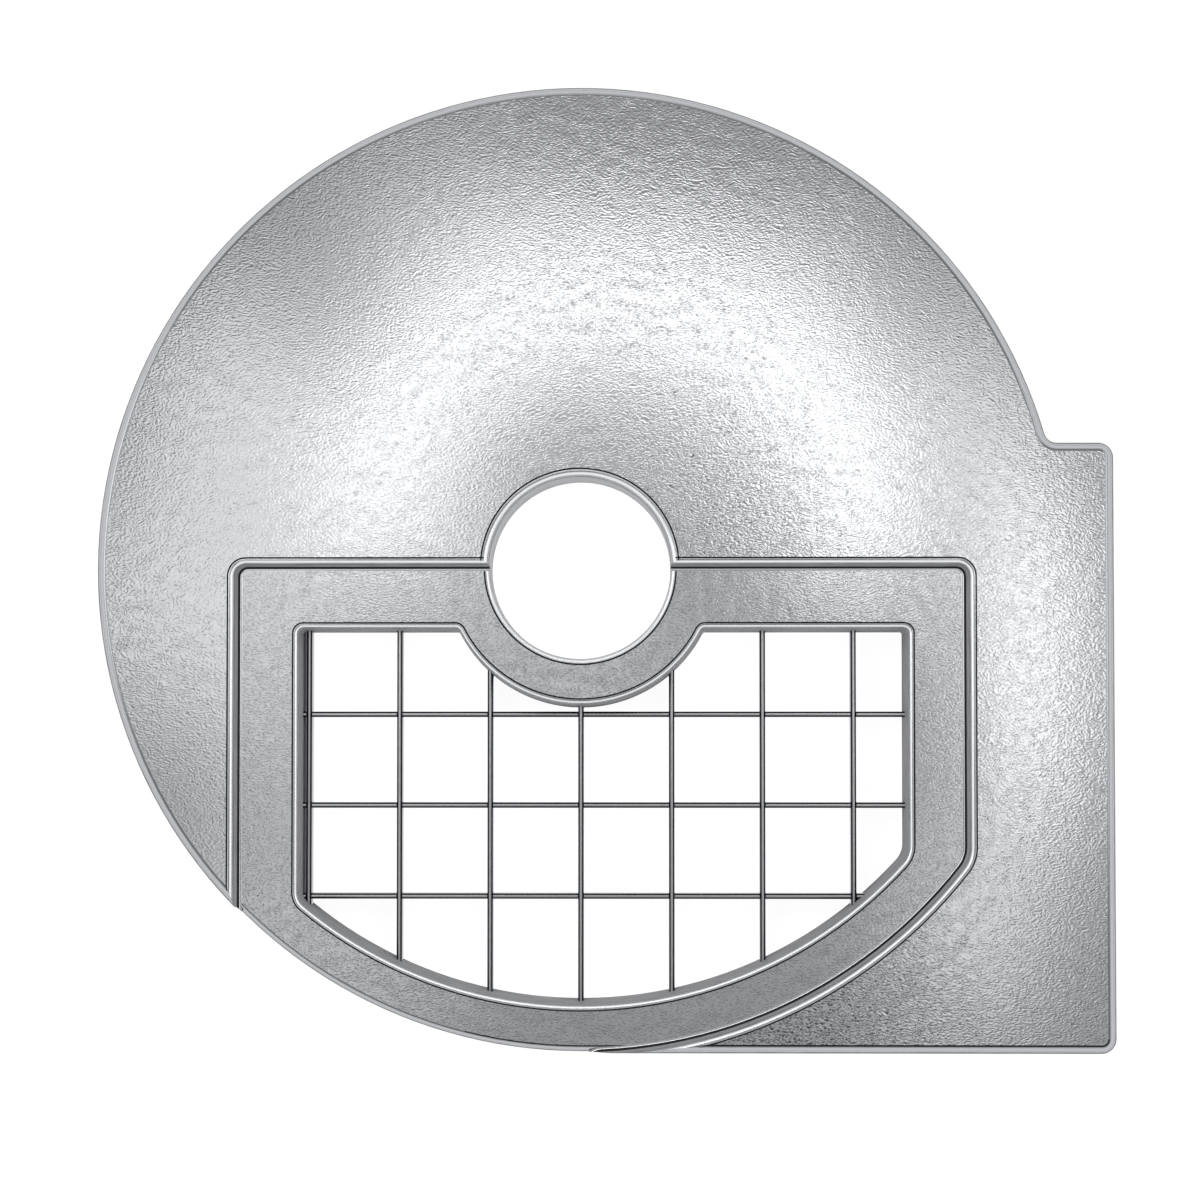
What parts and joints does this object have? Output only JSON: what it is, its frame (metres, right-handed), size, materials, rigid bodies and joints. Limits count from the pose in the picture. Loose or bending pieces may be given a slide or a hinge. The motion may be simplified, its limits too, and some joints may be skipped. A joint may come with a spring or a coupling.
{
  "type": "dicing disc",
  "caption": "Cast aluminium dicing disc of a vegetable cutter: a round plate with a square shoulder, a centre bore, and a recessed window crossed by a grid of steel blades.",
  "frame": {"origin": "on the axis of the centre bore, at the flat underside", "axes": "+Z along the bore's axis, from the underside to the textured face; +X towards the straight side of the square shoulder; the grid lies on the -Y side"},
  "size_m": [0.2155, 0.205, 0.018],
  "materials": {
    "casting": "as-cast orange-peel face, smooth rounded edges, satin",
    "blades": "ground steel, bright rounded upper edges"
  },
  "bodies": {
    "root": {"cast_plate": "casting", "cross_blade_1": "blades", "cross_blade_2": "blades", "cross_blade_3": "blades", "cross_blade_4": "blades", "cross_blade_5": "blades", "cross_blade_6": "blades", "cross_blade_7": "blades", "long_blade_1": "blades", "long_blade_2": "blades", "long_blade_3": "blades"}
  },
  "joints": []
}
